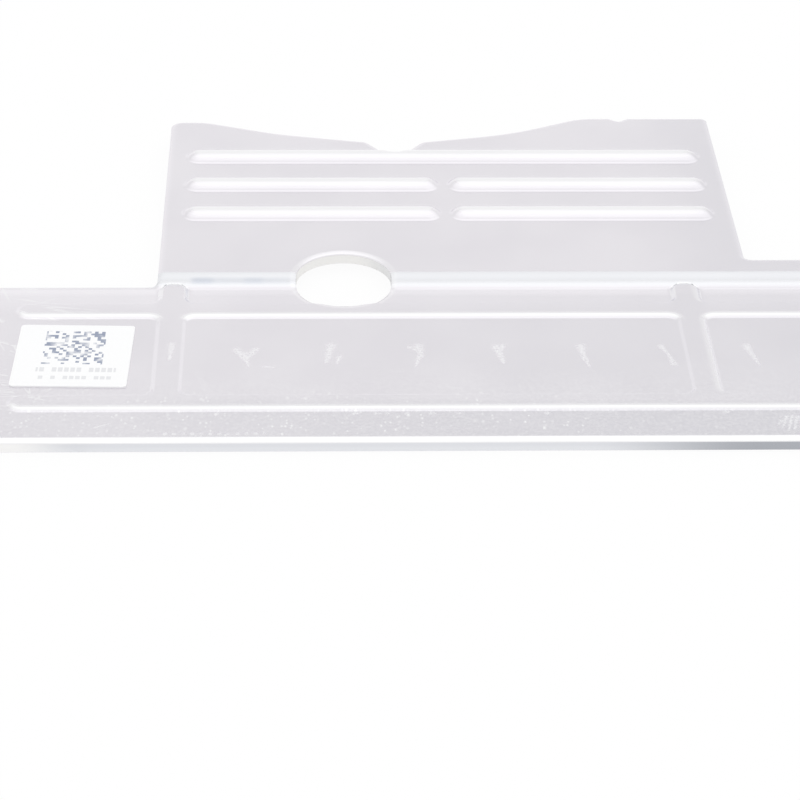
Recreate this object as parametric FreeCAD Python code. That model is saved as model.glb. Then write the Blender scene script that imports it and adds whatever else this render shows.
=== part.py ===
import FreeCAD, Part
import math
import os

# Bracket plate for a solid-state drive: one pressed steel sheet with a front strip,
# a step up at the back and a tab behind it, and an adhesive label on the strip.
# All sizes are in millimetres. X runs along the strip from its middle, Y runs from the
# front edge to the back, and Z is up from the underside of the strip. The finished part
# is then moved along Y, so that its origin is in the middle of its outline.

# Sheet and strip
sheet = 1.0                  # thickness of the steel
strip_length = 70.0
strip_corner = 0.8           # rounded outer corners of the strip
rolled_edge = 0.4            # rounding that the blanking tool leaves along the outline

# Step between the strip and the tab
step_start = 21.55           # front edge to the foot of the step
step_height = 0.7
step_foot_round = 1.72       # on the upper face
step_crest_round = 0.2       # on the underside
strip_past_foot = 0.7        # foot of the step to the strip's back edge, left of the tab
lip_depth = 2.1              # top of the step to the back of the lip, right of the tab

# Tab behind the step
tab_past_rib = 1.3           # middle of the left rib to the tab's left edge
tab_width = 46.5
tab_depth = 27.5             # top of the step to the far edge
left_drop = 0.75             # the far edge lies this much nearer, left of the scoop
tab_corner_left = 1.0
tab_corner_right = 0.5
inner_corner = 0.6           # where the tab's sides meet the strip

# Scoop, notch and nick in the far edge of the tab
notch_half_width = 2.4       # the notch is in the middle of the scoop
notch_set_back = 4.55        # far edge to the corners of the notch
notch_tip_drop = 3.2         # notch corner to the point where its sides would cross
notch_round = 0.7
notch_corner = 0.6
scoop_from_left = 2.95       # tab's left edge to the start of the scoop
scoop_from_right = 11.15     # tab's right edge to the end of the scoop
scoop_steep_run = 6.2        # either end of the scoop to the place where it flattens
scoop_steep_drop = 3.0       # far edge to that place
scoop_middle_round = 22.0
scoop_end_round = 5.0
nick_from_right = 7.7        # tab's right edge to the middle of the nick
nick_half_width = 0.75
nick_depth = 0.6
nick_round = 0.35

# Ladder of raised beads on the strip
bead_half_width = 1.15       # at the foot
bead_wall_run = 0.3          # foot to crest edge, seen from above
bead_height = 0.22
bead_round = 0.25            # at the foot and at the crest
rail_end_margin = 3.0        # strip's end to the end of the rear rail
front_rail_short = 0.45      # the front rail stops this much before the rear one
front_rail = 5.02            # front edge to the middle of the front rail
rear_rail_to_step = 3.1      # middle of the rear rail to the foot of the step
rib_from_rail_end = 12.0     # end of the rear rail to the middle of the rib
pocket_corner = 0.7

# Raised bars on the tab
bar_height = 0.5
bar_hollow_round = 0.57      # inside radius of a bar, on the underside
bar_foot_round = 0.4
bar_side_margin = 1.5        # tab edge to bar end
bar_gap = 0.7                # between the two bars of a split row
bar_gap_from_left = 23.0     # tab's left edge to the middle of that gap
first_bar_from_step = 9.65   # top of the step to the middle of the nearest row
last_bar_to_notch = 3.1      # middle of the farthest row to the corners of the notch
bar_rows = 3
split_rows = 2               # the rows nearest the strip are split in two

# Access hole across the step
hole_diameter = 7.5
hole_from_left = 14.55       # tab's left edge to the hole's centre
hole_from_step = 1.22        # foot of the step to the hole's centre
hole_edge = 0.25             # rounding that the punch leaves on the upper edge

# Adhesive label in the left pocket
label_width = 8.65
label_depth = 8.9
label_thickness = 0.1
label_corner = 0.3
label_from_rib = 7.15        # middle of the left rib to the middle of the label
label_turn = -1.5            # degrees, as it was stuck on

# Places that follow from the sizes
half_length = strip_length / 2
rail_half_length = half_length - rail_end_margin
rib_x = rail_half_length - rib_from_rail_end
step_radii = step_foot_round + step_crest_round + sheet
step_turn = math.acos(1 - step_height / step_radii)
step_end = step_start + step_radii * math.sin(step_turn)
strip_depth = step_start + strip_past_foot
lip_reach = step_end + lip_depth
rear_rail = step_start - rear_rail_to_step
tab_left = -rib_x - tab_past_rib
tab_right = tab_left + tab_width
tab_top = sheet + step_height
tab_reach = step_end + tab_depth
scoop_left = tab_left + scoop_from_left
scoop_right = tab_right - scoop_from_right
notch_x = (scoop_left + scoop_right) / 2
notch_corner_reach = tab_reach - notch_set_back
nick_x = tab_right - nick_from_right
first_bar = step_end + first_bar_from_step
last_bar = notch_corner_reach - last_bar_to_notch
hole_x = tab_left + hole_from_left
hole_reach = step_start + hole_from_step
label_x = -rib_x - label_from_rib
label_reach = (front_rail + rear_rail) / 2
spare = 5 * sheet            # how far blanks and cutting tools run past the part
tool_height = 4 * spare      # of cutters that go right through
same_place = 1e-4            # two places nearer than this count as one
into_frame = FreeCAD.Vector(0, -tab_reach / 2, 0)


def point(x, y, z=0.0):
    return FreeCAD.Vector(x, y, z)


def rounded_wire(corners, height):
    """Closed level wire through corners (x, y, radius), each rounded by a tangent arc."""
    edges = []
    starts = []
    mids = []
    ends = []
    count = len(corners)
    for index in range(count):
        x, y, radius = corners[index]
        here = point(x, y, height)
        back = point(*corners[index - 1][:2], height)
        ahead = point(*corners[(index + 1) % count][:2], height)
        way_in = (here - back).normalize()
        way_out = (ahead - here).normalize()
        half_turn = way_in.getAngle(way_out) / 2
        reach = radius * math.tan(half_turn)
        inward = (way_out - way_in).normalize()
        starts.append(here - way_in * reach)
        mids.append(here + inward * (radius / math.cos(half_turn) - radius))
        ends.append(here + way_out * reach)
    for index in range(count):
        if corners[index][2] > 0:
            edges.append(Part.Arc(starts[index], mids[index], ends[index]).toShape())
        after = (index + 1) % count
        if ends[index].distanceToPoint(starts[after]) > same_place:
            edges.append(Part.LineSegment(ends[index], starts[after]).toShape())
    return Part.Wire(edges)


def prism(wire, height):
    return Part.Face(wire).extrude(point(0, 0, height))


def step_and_tab():
    """Sheet behind the strip, before cutting: step made of two tangent arcs, then the flat tab."""
    foot = point(0, step_start, sheet + step_foot_round)
    crest = point(0, step_end, step_height - step_crest_round)

    def on_arc(centre, radius, angle):
        return centre + point(0, math.sin(angle), -math.cos(angle)) * radius

    def arc(centre, radius, angles):
        return Part.Arc(*[on_arc(centre, radius, angle) for angle in angles]).toShape()

    def line(first, second):
        return Part.LineSegment(first, second).toShape()

    rise = (0, step_turn / 2, step_turn)
    settle = (math.pi + step_turn, math.pi + step_turn / 2, math.pi)
    top_front = point(0, step_start, sheet)
    top_back = point(0, tab_reach + spare, tab_top)
    under_front = point(0, step_start, 0)
    under_back = point(0, tab_reach + spare, step_height)
    outline = Part.Wire([
        arc(foot, step_foot_round, rise),
        arc(crest, step_crest_round + sheet, settle),
        line(point(0, step_end, tab_top), top_back),
        line(top_back, under_back),
        line(under_back, point(0, step_end, step_height)),
        arc(crest, step_crest_round, settle[::-1]),
        arc(foot, step_foot_round + sheet, rise[::-1]),
        line(under_front, top_front),
    ])
    width = strip_length + 2 * spare
    blank = Part.Face(outline).extrude(point(width, 0, 0))
    blank.translate(point(-width / 2, 0, 0))
    return blank


def ladder_outline(inset, height):
    """Outer edge of the ladder of beads: two rails and two ribs, drawn inset from the foot."""
    half = bead_half_width - inset
    end = rail_half_length - inset
    hollow = pocket_corner + inset
    front_end = end - front_rail_short
    front = (front_rail - half, front_rail + half)
    rear = (rear_rail - half, rear_rail + half)
    right_side = [
        (front_end, front[0], half), (front_end, front[1], half),
        (rib_x + half, front[1], hollow), (rib_x + half, rear[0], hollow),
        (end, rear[0], half), (end, rear[1], half),
        (rib_x + half, rear[1], hollow), (rib_x + half, step_end, half),
        (rib_x - half, step_end, half), (rib_x - half, rear[1], hollow),
    ]
    left_side = [(-x, y, radius) for x, y, radius in reversed(right_side)]
    return rounded_wire(right_side + left_side, height)


def pocket_outline(inset, height):
    """Edge of the closed pocket between the two ribs."""
    half = bead_half_width - inset
    hollow = pocket_corner + inset
    side = rib_x - half
    low = front_rail + half
    high = rear_rail - half
    corners = [(-side, low, hollow), (side, low, hollow), (side, high, hollow), (-side, high, hollow)]
    return rounded_wire(corners, height)


def ladder(base):
    """Solid of the beads standing on the level base, with sloped walls."""
    crest = base + bead_height
    body = Part.makeLoft([ladder_outline(0, base), ladder_outline(bead_wall_run, crest)], True, True)
    pocket = Part.makeLoft([pocket_outline(0, base), pocket_outline(bead_wall_run, crest)], True, True)
    return body.cut(pocket)


def bar_spans():
    """Start x, end x and middle y of every bar on the tab."""
    left = tab_left + bar_side_margin
    right = tab_right - bar_side_margin
    middle = tab_left + bar_gap_from_left
    spans = []
    pitch = (last_bar - first_bar) / (bar_rows - 1)
    for row in range(bar_rows):
        y = first_bar + row * pitch
        if row < split_rows:
            spans.append((left, middle - bar_gap / 2, y))
            spans.append((middle + bar_gap / 2, right, y))
        else:
            spans.append((left, right, y))
    return spans


def capsule(start, end, y, z, radius, cap):
    """Round bar along X with ball ends whose centres lie cap inside start and end."""
    length = end - start - 2 * cap
    first = point(start + cap, y, z)
    last = point(end - cap, y, z)
    bar = Part.makeCylinder(radius, length, first, point(1, 0, 0))
    for centre in (first, last):
        bar = bar.fuse(Part.makeSphere(radius, centre))
    return bar.removeSplitter()


def edges_where(shape, test):
    """Edges whose two ends and middle all pass the test."""
    chosen = []
    for edge in shape.Edges:
        middle = edge.valueAt((edge.FirstParameter + edge.LastParameter) / 2)
        places = [vertex.Point for vertex in edge.Vertexes] + [middle]
        if all(test(place) for place in places):
            chosen.append(edge)
    return chosen


def beaded_strip():
    """Flat strip as far as the foot of the step, with the ladder raised above and hollow below."""
    width = strip_length + 2 * spare
    blank = Part.makeBox(width, step_start + spare, sheet)
    blank.translate(point(-width / 2, -spare))
    room = Part.makeBox(width, step_start + spare, sheet + 2 * bead_height)
    room.translate(point(-width / 2, -spare))
    body = blank.fuse(ladder(sheet)).cut(ladder(0)).common(room).removeSplitter()
    crest = sheet + bead_height

    def on_crest(place):
        return abs(place.z - crest) < same_place

    def on_foot(place):
        return abs(place.z - sheet) < same_place and abs(place.x) < half_length and place.y > 0

    def along_cut(edge):
        return all(abs(vertex.Y - step_start) < same_place for vertex in edge.Vertexes)

    for test in (on_crest, on_foot):
        chosen = [edge for edge in edges_where(body, test) if not along_cut(edge)]
        body = body.makeFillet(bead_round, chosen)
    return body


def rib_ends(strip):
    """Half of each rib's section at the foot of the step, turned into a round end in the step."""
    ends = []
    for side in (-1, 1):
        middle = point(side * rib_x, step_start)
        window = Part.makeBox(bead_half_width + bead_round, step_start, bead_height + sheet / 2)
        window.translate(point(middle.x, step_start / 2, sheet / 2))
        block = strip.common(window)
        for face in block.Faces:
            if abs(face.CenterOfMass.y - step_start) < same_place:
                ends.append(face.revolve(middle, point(0, 0, 1), 180))
    return ends


def add_bars(body):
    """Press the round bars into the tab: raised above, hollow below, feet rounded."""
    radius = bar_hollow_round + sheet
    half_width = math.sqrt(radius ** 2 - (radius - bar_height) ** 2)
    axis = tab_top + bar_height - radius
    for start, end, y in bar_spans():
        raised = capsule(start, end, y, axis, radius, half_width)
        above = Part.makeBox(end - start, 2 * radius, radius)
        above.translate(point(start, y - radius, tab_top))
        hollow = capsule(start, end, y, axis, bar_hollow_round, half_width)
        body = body.fuse(raised.common(above)).cut(hollow)
    body = body.removeSplitter()

    def on_bar_foot(place):
        inside = tab_left < place.x < tab_right and step_end < place.y < tab_reach
        return abs(place.z - tab_top) < same_place and inside

    return body.makeFillet(bar_foot_round, edges_where(body, on_bar_foot))


def scoop_side(side, end, reach):
    """Corners of one side of the scoop, from the notch outwards to its end."""
    return [
        (notch_x + side * notch_half_width, notch_corner_reach, notch_corner),
        (end - side * scoop_steep_run, tab_reach - scoop_steep_drop, scoop_middle_round),
        (end, reach, scoop_end_round),
    ]


def plate_outline():
    """Plan of the whole plate, counter-clockwise from the front left corner."""
    nick = [
        (nick_x + nick_half_width, tab_reach, nick_round),
        (nick_x, tab_reach - nick_depth, nick_round),
        (nick_x - nick_half_width, tab_reach, nick_round),
    ]
    notch_tip = [(notch_x, notch_corner_reach - notch_tip_drop, notch_round)]
    corners = [
        (-half_length, 0, strip_corner),
        (half_length, 0, strip_corner),
        (half_length, lip_reach, strip_corner),
        (tab_right, lip_reach, inner_corner),
        (tab_right, tab_reach, tab_corner_right),
    ]
    corners += nick
    corners += scoop_side(1, scoop_right, tab_reach)[::-1]
    corners += notch_tip
    corners += scoop_side(-1, scoop_left, tab_reach - left_drop)
    corners += [
        (tab_left, tab_reach - left_drop, tab_corner_left),
        (tab_left, strip_depth, inner_corner),
        (-half_length, strip_depth, strip_corner),
    ]
    return rounded_wire(corners, -spare)


def make_plate():
    """The pressed sheet: strip, step and tab cut to the outline, edges rolled, hole punched."""
    strip = beaded_strip()
    back = add_bars(step_and_tab())
    body = strip.fuse([back] + rib_ends(strip)).removeSplitter()
    body = body.common(prism(plate_outline(), tool_height))

    def on_front(place):
        return abs(place.y) < same_place and abs(place.z - sheet) < same_place

    # Every corner of the outline is a tangent arc, so this rounding runs on all the way round.
    body = body.makeFillet(rolled_edge, edges_where(body, on_front))
    hole_axis = point(hole_x, hole_reach)
    hole = Part.makeCylinder(hole_diameter / 2, tool_height, hole_axis - point(0, 0, spare))
    body = body.cut(hole)

    def on_hole(place):
        from_axis = point(place.x, place.y).distanceToPoint(hole_axis)
        return abs(from_axis - hole_diameter / 2) < same_place and place.z > sheet - same_place

    return body.makeFillet(hole_edge, edges_where(body, on_hole))


def make_label():
    """Thin square label with small round corners, lying on the strip a little askew."""
    half_width = label_width / 2
    half_depth = label_depth / 2
    corners = [
        (-half_width, -half_depth, label_corner), (half_width, -half_depth, label_corner),
        (half_width, half_depth, label_corner), (-half_width, half_depth, label_corner),
    ]
    label = prism(rounded_wire(corners, sheet), label_thickness)
    label.rotate(point(0, 0), point(0, 0, 1), label_turn)
    label.translate(point(label_x, label_reach))
    return label


os.makedirs("parts", exist_ok=True)
for name, shape in (("plate", make_plate()), ("label", make_label())):
    shape.translate(into_frame)
    shape.exportStep("parts/" + name + ".step")
    box = shape.BoundBox
    print(name, "valid", shape.isValid(), "solids", len(shape.Solids), "faces", len(shape.Faces),
          "volume", round(shape.Volume, 3))
    print("   x %.2f %.2f  y %.2f %.2f  z %.2f %.2f" % (box.XMin, box.XMax, box.YMin, box.YMax,
                                                    box.ZMin, box.ZMax))
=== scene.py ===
import math

import bpy
import numpy as np
from mathutils import Matrix, Vector, geometry


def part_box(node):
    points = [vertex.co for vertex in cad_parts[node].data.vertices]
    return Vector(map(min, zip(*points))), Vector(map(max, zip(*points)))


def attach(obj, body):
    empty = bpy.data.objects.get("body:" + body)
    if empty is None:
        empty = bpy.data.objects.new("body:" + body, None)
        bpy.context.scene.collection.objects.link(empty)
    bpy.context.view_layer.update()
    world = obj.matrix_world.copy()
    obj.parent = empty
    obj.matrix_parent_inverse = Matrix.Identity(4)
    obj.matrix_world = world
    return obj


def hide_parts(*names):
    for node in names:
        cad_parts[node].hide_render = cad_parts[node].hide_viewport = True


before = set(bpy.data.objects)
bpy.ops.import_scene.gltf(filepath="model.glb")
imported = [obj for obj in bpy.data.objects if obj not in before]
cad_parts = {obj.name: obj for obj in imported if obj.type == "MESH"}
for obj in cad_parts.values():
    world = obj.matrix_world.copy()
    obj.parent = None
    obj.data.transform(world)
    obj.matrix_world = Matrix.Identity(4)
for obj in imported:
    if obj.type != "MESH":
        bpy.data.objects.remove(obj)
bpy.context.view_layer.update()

# Plate
# One sheet of zinc-plated steel. A press raises the ladder of beads, the step and the bars, and a
# blanking tool cuts the outline and the hole, which rolls the upper edges over and leaves a cut face.
mm = 0.001
plate_low, plate_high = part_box("plate")
half_length = plate_high.x
front_edge = plate_low.y
tab_reach = plate_high.y - front_edge

sheet = 1.0 * mm
strip_corner = 0.8 * mm
outline_roll = (0.92 * mm, math.radians(35))
hole_roll = (1.25 * mm, math.radians(25))
crease_round = 0.06 * mm

step_start = 21.55 * mm
step_height = 0.7 * mm
step_foot_round = 1.72 * mm
step_crest_round = 0.2 * mm
strip_tail = 0.7 * mm
lip_depth = 2.1 * mm
strip_depth = step_start + strip_tail
step_radii = step_foot_round + step_crest_round + sheet
step_turn = math.acos(1 - step_height / step_radii)
step_end = step_start + step_radii * math.sin(step_turn)
lip_reach = step_end + lip_depth

bead_half_width = 1.15 * mm
bead_wall_run = 0.3 * mm
bead_height = 0.22 * mm
bead_round = 0.25 * mm
pocket_corner = 0.7 * mm
rail_inset = 3.0 * mm
front_rail_shorter = 0.45 * mm
rib_inset = 12.0 * mm
front_rail = 5.02 * mm
rear_rail_gap = 3.1 * mm
rail_end = half_length - rail_inset
front_rail_end = rail_end - front_rail_shorter
rib_x = rail_end - rib_inset
rear_rail = step_start - rear_rail_gap

tab_overhang = 1.3 * mm
tab_width = 46.5 * mm
left_drop = 0.75 * mm
tab_left = -rib_x - tab_overhang
tab_right = tab_left + tab_width
left_reach = tab_reach - left_drop
tab_corner_left = 1.0 * mm
tab_corner_right = 0.5 * mm
inner_corner = 0.6 * mm

left_shoulder = 2.95 * mm
right_shoulder = 11.15 * mm
scoop_depth = 3.0 * mm
scoop_steep_run = 6.2 * mm
scoop_left = tab_left + left_shoulder
scoop_right = tab_right - right_shoulder
scoop_middle_reach = tab_reach - scoop_depth
scoop_middle_round = 22.0 * mm
scoop_end_round = 5.0 * mm
notch_x = (scoop_left + scoop_right) / 2
notch_half_width = 2.4 * mm
notch_corner_depth = 4.55 * mm
notch_depth = 3.2 * mm
notch_corner_reach = tab_reach - notch_corner_depth
notch_tip_reach = notch_corner_reach - notch_depth
notch_round = 0.7 * mm
notch_corner = 0.6 * mm
nick_inset = 7.7 * mm
nick_x = tab_right - nick_inset
nick_half_width = 0.75 * mm
nick_depth = 0.6 * mm
nick_round = 0.35 * mm

bar_height = 0.5 * mm
bar_hollow_round = 0.57 * mm
bar_round = bar_hollow_round + sheet
bar_foot_round = 0.4 * mm
bar_inset = 1.5 * mm
bar_gap = 0.7 * mm
bar_gap_inset = 23.0 * mm
bar_count = 3
first_bar_gap = 9.65 * mm
last_bar_gap = 3.1 * mm
bar_left = tab_left + bar_inset
bar_right = tab_right - bar_inset
bar_gap_x = tab_left + bar_gap_inset
bar_rows = np.linspace(step_end + first_bar_gap, notch_corner_reach - last_bar_gap, bar_count)

hole_radius = 3.75 * mm
hole_inset = 14.55 * mm
hole_past_step = 1.22 * mm
hole_centre = np.array([tab_left + hole_inset, step_start + hole_past_step])


def rounded_loop(corners, inset=0.0):
    """Points of a closed loop: straight runs between corners (x, y, radius), joined by tangent arcs.
    A loop drawn inset has each run moved to its left by the inset, so its radii are shorter at outward
    corners and longer at inward ones."""
    longest_run = 0.8 * mm
    widest_turn = math.radians(5)
    least_radius = 0.01 * mm
    table = np.array(corners, float)
    way_out = np.roll(table[:, :2], -1, axis=0) - table[:, :2]
    way_out /= np.linalg.norm(way_out, axis=1)[:, None]
    way_in = np.roll(way_out, 1, axis=0)
    across = way_in[:, 0] * way_out[:, 1] - way_in[:, 1] * way_out[:, 0]
    turn = np.arctan2(across, np.sum(way_in * way_out, axis=1))
    side = np.sign(turn)
    to_left = np.stack([-way_in[:, 1], way_in[:, 0]], axis=1)
    here = table[:, :2] + inset * (to_left - way_in * np.tan(turn / 2)[:, None])
    radius = np.maximum(table[:, 2] - side * inset, least_radius)
    reach = radius * np.tan(np.abs(turn) / 2)
    centre = here - way_in * reach[:, None] + to_left * (side * radius)[:, None]
    arcs = []
    for spot, spoke, bend, size in zip(centre, to_left * -side[:, None], turn, radius):
        steps = max(abs(bend) / widest_turn, abs(bend) * size / longest_run)
        angle = np.linspace(0, bend, math.ceil(steps) + 1)
        swung = np.stack([spoke[0] * np.cos(angle) - spoke[1] * np.sin(angle),
                          spoke[0] * np.sin(angle) + spoke[1] * np.cos(angle)], axis=1)
        arcs.append(spot + size * swung)
    pieces = []
    for arc, following in zip(arcs, arcs[1:] + arcs[:1]):
        gap = np.linalg.norm(following[0] - arc[-1])
        share = np.linspace(0, 1, math.ceil(gap / longest_run) + 1)[1:-1, None]
        pieces += [arc, arc[-1] + share * (following[0] - arc[-1])]
    return np.concatenate(pieces)


def distance_inside(points, loop):
    """Distance of each point from a loop, positive inside, and the unit direction in which it grows:
    the nearest place on the loop's segments, with the sign from counting the crossings to the right."""
    batch = 2000
    on_loop = 1e-7
    least_gap = 1e-12
    run = np.roll(loop, -1, axis=0) - loop
    length = np.linalg.norm(run, axis=1)
    has_length = length > 0
    start = loop[has_length]
    run = run[has_length]
    length = length[has_length]
    distances = []
    directions = []
    for some in np.array_split(points, max(1, len(points) // batch)):
        offset = some[:, None, :] - start[None]
        along = np.clip(np.sum(offset * run, axis=2) / length ** 2, 0, 1)
        away = offset - along[:, :, None] * run
        nearest = np.argmin(np.sum(away ** 2, axis=2), axis=1)
        pick = np.arange(len(some))
        away = away[pick, nearest]
        gap = np.linalg.norm(away, axis=1)
        above = offset[:, :, 1] >= 0
        end_above = offset[:, :, 1] >= run[None, :, 1]
        cross = run[None, :, 0] * offset[:, :, 1] - run[None, :, 1] * offset[:, :, 0]
        hits = (above & ~end_above & (cross > 0)) | (~above & end_above & (cross < 0))
        sign = np.where(np.sum(hits, axis=1) % 2 == 1, 1.0, -1.0)
        inward = np.stack([-run[nearest, 1], run[nearest, 0]], axis=1) / length[nearest, None]
        away *= (sign / np.maximum(gap, least_gap))[:, None]
        distances.append(sign * gap)
        directions.append(np.where((gap > on_loop)[:, None], away, inward))
    return np.concatenate(distances), np.concatenate(directions)


def outline_corners():
    """Plan of the plate, counter-clockwise from the front left corner."""
    scoop_on_left = [
        (notch_x - notch_half_width, notch_corner_reach, notch_corner),
        (scoop_left + scoop_steep_run, scoop_middle_reach, scoop_middle_round),
        (scoop_left, left_reach, scoop_end_round),
    ]
    scoop_on_right = [
        (scoop_right, tab_reach, scoop_end_round),
        (scoop_right - scoop_steep_run, scoop_middle_reach, scoop_middle_round),
        (notch_x + notch_half_width, notch_corner_reach, notch_corner),
    ]
    nick = [
        (nick_x + nick_half_width, tab_reach, nick_round),
        (nick_x, tab_reach - nick_depth, nick_round),
        (nick_x - nick_half_width, tab_reach, nick_round),
    ]
    return [
        (-half_length, 0, strip_corner), (half_length, 0, strip_corner),
        (half_length, lip_reach, strip_corner), (tab_right, lip_reach, inner_corner),
        (tab_right, tab_reach, tab_corner_right), *nick, *scoop_on_right,
        (notch_x, notch_tip_reach, notch_round), *scoop_on_left,
        (tab_left, left_reach, tab_corner_left), (tab_left, strip_depth, inner_corner),
        (-half_length, strip_depth, strip_corner),
    ]


def ladder_corners():
    """Foot line round the two rails and two ribs of the ladder, whose ribs end round in the step's foot."""
    half = bead_half_width
    rib_end = step_start + half
    right = [
        (front_rail_end, front_rail - half, half), (front_rail_end, front_rail + half, half),
        (rib_x + half, front_rail + half, pocket_corner), (rib_x + half, rear_rail - half, pocket_corner),
        (rail_end, rear_rail - half, half), (rail_end, rear_rail + half, half),
        (rib_x + half, rear_rail + half, pocket_corner), (rib_x + half, rib_end, half),
        (rib_x - half, rib_end, half), (rib_x - half, rear_rail + half, pocket_corner),
    ]
    return right + [(-x, y, radius) for x, y, radius in reversed(right)]


def pocket_corners():
    """Foot line of the closed pocket between the two ribs."""
    side = rib_x - bead_half_width
    low = front_rail + bead_half_width
    high = rear_rail - bead_half_width
    return [(-side, low, pocket_corner), (side, low, pocket_corner),
            (side, high, pocket_corner), (-side, high, pocket_corner)]


def bar_axes():
    """Start x, end x and y of each bar's axis, half a bar's width inside its ends."""
    inside = math.sqrt(bar_round ** 2 - (bar_round - bar_height) ** 2)
    halves = [(bar_left, bar_gap_x - bar_gap / 2), (bar_gap_x + bar_gap / 2, bar_right)]
    spans = [(*half, row) for row in bar_rows[:2] for half in halves]
    spans.append((bar_left, bar_right, bar_rows[2]))
    return [(start + inside, end - inside, row) for start, end, row in spans]


bead_slope = math.atan2(bead_height, bead_wall_run)
bead_tangent = bead_round * math.tan(bead_slope / 2)


def bead_side(depth):
    """Height and slope of a bead's side at a depth in from its foot line: level ground, an arc that
    turns up, a straight wall, an arc that turns level again, and the crest."""
    arc_end = bead_tangent * math.cos(bead_slope)
    up = np.clip(depth + bead_tangent, 0, bead_round * math.sin(bead_slope))
    down = np.clip(bead_wall_run + bead_tangent - depth, 0, bead_round * math.sin(bead_slope))
    rise = np.sqrt(bead_round ** 2 - up ** 2)
    fall = np.sqrt(bead_round ** 2 - down ** 2)
    wall = math.tan(bead_slope)
    parts = [depth < arc_end, depth < bead_wall_run - arc_end]
    height = np.select(parts, [bead_round - rise, depth * wall], bead_height - bead_round + fall)
    slope = np.select(parts, [up / rise, np.full_like(depth, wall)], down / fall)
    return height, slope


def step_side(reach, foot, crest, base):
    """Height and slope of the step at a reach from the front edge: an arc of the foot radius that turns
    up from the base, then an arc of the crest radius that turns level at the step's height."""
    turn_over = step_start + foot * math.sin(step_turn)
    up = np.clip(reach - step_start, 0, foot * math.sin(step_turn))
    down = np.clip(step_end - reach, 0, crest * math.sin(step_turn))
    rise = np.sqrt(foot ** 2 - up ** 2)
    fall = np.sqrt(crest ** 2 - down ** 2)
    climbing = reach < turn_over
    height = np.where(climbing, base + foot - rise, base + step_height - crest + fall)
    slope = np.where(climbing, up / rise, down / fall)
    return height, slope


bar_flank = bar_round - bar_height
bar_foot_reach = math.sqrt((bar_round + bar_foot_round) ** 2 - (bar_flank + bar_foot_round) ** 2)
bar_crown_reach = bar_foot_reach * bar_round / (bar_round + bar_foot_round)


def bar_side(off_axis):
    """Height and slope of a bar at a distance from its axis: a round crown of the bar's radius, then a
    hollow arc of the foot radius that runs out level."""
    crown = np.sqrt(bar_round ** 2 - np.minimum(off_axis, bar_crown_reach) ** 2)
    out = np.clip(bar_foot_reach - off_axis, 0, bar_foot_reach - bar_crown_reach)
    foot = np.sqrt(bar_foot_round ** 2 - out ** 2)
    on_crown = off_axis < bar_crown_reach
    height = np.where(on_crown, crown - bar_flank, bar_foot_round - foot)
    slope = np.where(on_crown, -off_axis / crown, -out / foot)
    return height, slope


def bar_hollow(off_axis):
    """Height and slope of the hollow under a bar at a distance from its axis: part of a round tunnel."""
    edge = math.sqrt(bar_hollow_round ** 2 - (bar_hollow_round - bar_height) ** 2)
    roof = np.sqrt(bar_hollow_round ** 2 - np.minimum(off_axis, edge) ** 2)
    under = off_axis < edge
    height = np.where(under, roof - bar_hollow_round + bar_height, 0.0)
    slope = np.where(under, -off_axis / roof, 0.0)
    return height, slope


def edge_roll(inside, roll_round, turn):
    """Drop and slope of a rolled edge at a distance inside the edge: a wide arc that turns down from
    level by the given angle, then a small arc that turns on to upright."""
    least_square = 1e-16
    crease_width = crease_round * (1 - math.sin(turn))
    wide_run = roll_round * math.sin(turn)
    over = np.clip(crease_width + wide_run - inside, 0, wide_run)
    level = np.sqrt(roll_round ** 2 - over ** 2)
    short = np.clip(crease_round - inside, crease_round * math.sin(turn), crease_round)
    upright = np.sqrt(np.maximum(crease_round ** 2 - short ** 2, least_square))
    in_crease = inside < crease_width
    drop = roll_round - level + np.where(in_crease, crease_round * math.cos(turn) - upright, 0.0)
    return drop, np.where(in_crease, -short / upright, -over / level)


def soft_step(value, low, high):
    """Nothing at the low value and one at the high value, with a smooth rise between them."""
    share = np.clip((value - low) / (high - low), 0, 1)
    return share * share * (3 - 2 * share)


def off_axis(points, span):
    """Distance of each point from a bar's axis, and the unit direction in which it grows."""
    least_gap = 1e-9
    start, end, row = span
    nearest = np.stack([np.clip(points[:, 0], start, end), np.full(len(points), row)], axis=1)
    away = points - nearest
    gap = np.linalg.norm(away, axis=1)
    return gap, away / np.maximum(gap, least_gap)[:, None]


def plan_mesh(loops, lines, fill):
    """Points and triangles of the plan: every loop and line becomes a row of edges, the fill points lie
    between them, and the triangles are those of a Delaunay net whose middles lie on the sheet."""
    whole_net = 0
    welded_within = 1e-8
    rows = loops + lines
    starts = np.cumsum([0] + [len(row) for row in rows])
    links = []
    for index, row in enumerate(rows):
        here = np.arange(starts[index], starts[index + 1])
        pairs = np.stack([here, np.roll(here, -1)], axis=1)
        links.append(pairs if index < len(loops) else pairs[:-1])
    spots = np.concatenate(rows + [fill])
    net = geometry.delaunay_2d_cdt(spots.tolist(), np.concatenate(links).tolist(), [], whole_net,
                                   welded_within)
    points = np.array([spot[:] for spot in net[0]], float)
    triangles = np.array(net[2], int)
    middles = points[triangles].mean(axis=1)
    on_sheet = distance_inside(middles, loops[0])[0] > 0
    on_sheet &= np.linalg.norm(middles - hole_centre, axis=1) > hole_radius
    triangles = triangles[on_sheet]
    corner = points[triangles]
    first = corner[:, 1] - corner[:, 0]
    second = corner[:, 2] - corner[:, 0]
    clockwise = first[:, 0] * second[:, 1] < first[:, 1] * second[:, 0]
    triangles[clockwise] = triangles[clockwise][:, ::-1]
    used, compact = np.unique(triangles, return_inverse=True)
    return points[used], compact.reshape(-1, 3)


def hole_loop(away):
    """Points of a circle round the hole's centre, at a distance outside the hole's edge."""
    hole_points = 120
    angle = np.linspace(0, 2 * math.pi, hole_points + 1)[:-1]
    return hole_centre + (hole_radius + away) * np.stack([np.cos(angle), np.sin(angle)], axis=1)


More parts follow.
